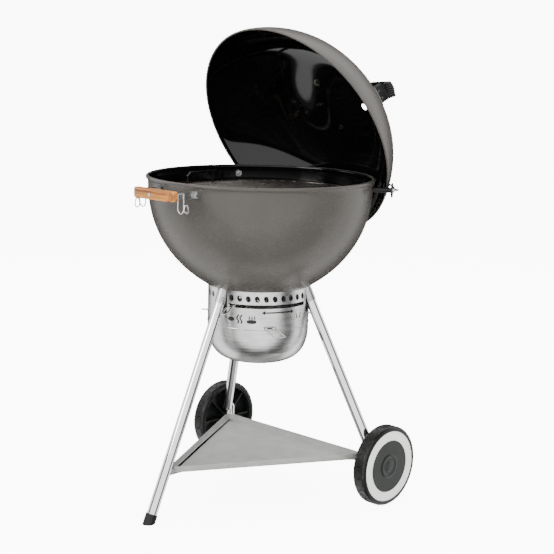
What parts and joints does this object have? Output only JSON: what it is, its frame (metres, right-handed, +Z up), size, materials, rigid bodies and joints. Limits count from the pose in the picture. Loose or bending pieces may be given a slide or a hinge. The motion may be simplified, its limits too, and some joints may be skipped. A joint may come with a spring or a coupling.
{
  "type": "kettle charcoal grill",
  "caption": "Kettle charcoal grill: enamelled bowl on tube legs with wheels, ash catcher, hinged grate, wood side handle, and a lid parked in a wire holder.",
  "frame": {"origin": "on the floor under the centre of the whole outline", "axes": "+Z up; -Y towards the wooden side handle and the front leg; wheels at +Y on an axle along X"},
  "size_m": [0.6244, 0.719, 1.1859],
  "materials": {
    "enamel_grey": "gloss",
    "chrome": "polished",
    "steel": "satin",
    "aluminium": "brushed",
    "painted_silver": "satin",
    "dark_plastic": "matte",
    "wheel_plastic": "satin",
    "white_plastic": "gloss",
    "tyre": "matte",
    "wood": "oiled"
  },
  "bodies": {
    "stand": {"bowl": "enamel_grey", "cooking_grate_tabs": "steel", "charcoal_grate_tabs": "steel", "leg_sockets": "painted_silver", "post_bolts": "steel", "lid_posts": "dark_plastic", "post_caps": "dark_plastic", "lid_bail": "steel", "front_leg": "chrome", "foot_cap": "dark_plastic", "rear_leg_right": "chrome", "rear_leg_left": "chrome", "axle": "steel", "axle_collars": "steel", "wheel_nuts": "steel", "shelf": "painted_silver", "shelf_tabs": "painted_silver", "shelf_rivets": "steel", "ash_ring": "aluminium", "ring_pins": "steel", "handle_bracket": "steel", "bracket_screws": "steel", "handle_grip": "wood", "grip_screw": "steel", "tool_hooks": "steel"},
    "wheel_right": {"tyre_right": "tyre", "wheel_core_right": "wheel_plastic", "wheel_ring_right": "white_plastic", "wheel_cap_right": "wheel_plastic"},
    "wheel_left": {"tyre_left": "tyre", "wheel_core_left": "wheel_plastic", "wheel_ring_left": "white_plastic", "wheel_cap_left": "wheel_plastic"},
    "lid": {"lid": "enamel_grey", "lid_handle_plate": "aluminium", "lid_handle": "dark_plastic", "handle_screws": "steel", "plate_bolts": "steel", "damper_rivet": "steel"},
    "damper": {"damper": "aluminium"},
    "sweeper": {"sweeper": "aluminium", "sweeper_hub": "steel", "sweeper_lever": "steel"},
    "ash_pot": {"ash_pot": "aluminium"},
    "pot_handle": {"pot_handle": "steel"},
    "charcoal_grate": {"charcoal_grate": "steel"},
    "cooking_grate": {"cooking_grate": "steel"},
    "flap_front": {"grate_flap_front": "steel"},
    "flap_back": {"grate_flap_back": "steel"},
    "button_front": {"button_front": "steel"},
    "button_right": {"button_right": "steel"},
    "button_left": {"button_left": "steel"}
  },
  "joints": [
    {"name": "wheel_right_spin", "type": "hinge", "parent": "stand", "child": "wheel_right", "pos_m": [0, 0.1878, 0.1018], "axis": [1, 0, 0], "continuous": true},
    {"name": "wheel_left_spin", "type": "hinge", "parent": "stand", "child": "wheel_left", "pos_m": [0, 0.1878, 0.1018], "axis": [1, 0, 0], "continuous": true},
    {"name": "lid_lift", "type": "slide", "parent": "stand", "child": "lid", "axis": [0, 0.38, 0.925], "range_m": [0, 0.3]},
    {"name": "damper_turn", "type": "hinge", "parent": "lid", "child": "damper", "pos_m": [-0.13047, 0.29025, 0.95986], "axis": [-0.184, 0.8922, 0.4125], "range_deg": [0, 60]},
    {"name": "sweeper_turn", "type": "hinge", "parent": "stand", "child": "sweeper", "pos_m": [0, 0.02, 0.5], "axis": [0, 0, 1], "range_deg": [0, 86]},
    {"name": "ash_pot_drop", "type": "slide", "parent": "stand", "child": "ash_pot", "axis": [0, 0, -1], "range_m": [0, 0.15]},
    {"name": "pot_handle_swing", "type": "hinge", "parent": "ash_pot", "child": "pot_handle", "pos_m": [0.10973, -0.0491, 0.458], "axis": [-0.5329, -0.8462, 0], "range_deg": [-36, 80]},
    {"name": "charcoal_grate_lift", "type": "slide", "parent": "stand", "child": "charcoal_grate", "axis": [0, 0, 1], "range_m": [0, 0.1]},
    {"name": "cooking_grate_lift", "type": "slide", "parent": "stand", "child": "cooking_grate", "axis": [0, 0, 1], "range_m": [0, 0.12]},
    {"name": "flap_front_fold", "type": "hinge", "parent": "cooking_grate", "child": "flap_front", "pos_m": [0, -0.112, 0.7793], "axis": [-1, 0, 0], "range_deg": [0, 95]},
    {"name": "flap_back_fold", "type": "hinge", "parent": "cooking_grate", "child": "flap_back", "pos_m": [0, 0.152, 0.7793], "axis": [1, 0, 0], "range_deg": [0, 95]},
    {"name": "button_front_press", "type": "slide", "parent": "stand", "child": "button_front", "axis": [-0.866, 0.4572, -0.2024], "range_m": [0, 0.003], "stiffness_N_per_m": 500},
    {"name": "button_right_press", "type": "slide", "parent": "stand", "child": "button_right", "axis": [0.0371, -0.9786, -0.2024], "range_m": [0, 0.003], "stiffness_N_per_m": 500},
    {"name": "button_left_press", "type": "slide", "parent": "stand", "child": "button_left", "axis": [-0.0371, -0.9786, -0.2024], "range_m": [0, 0.003], "stiffness_N_per_m": 500}
  ]
}
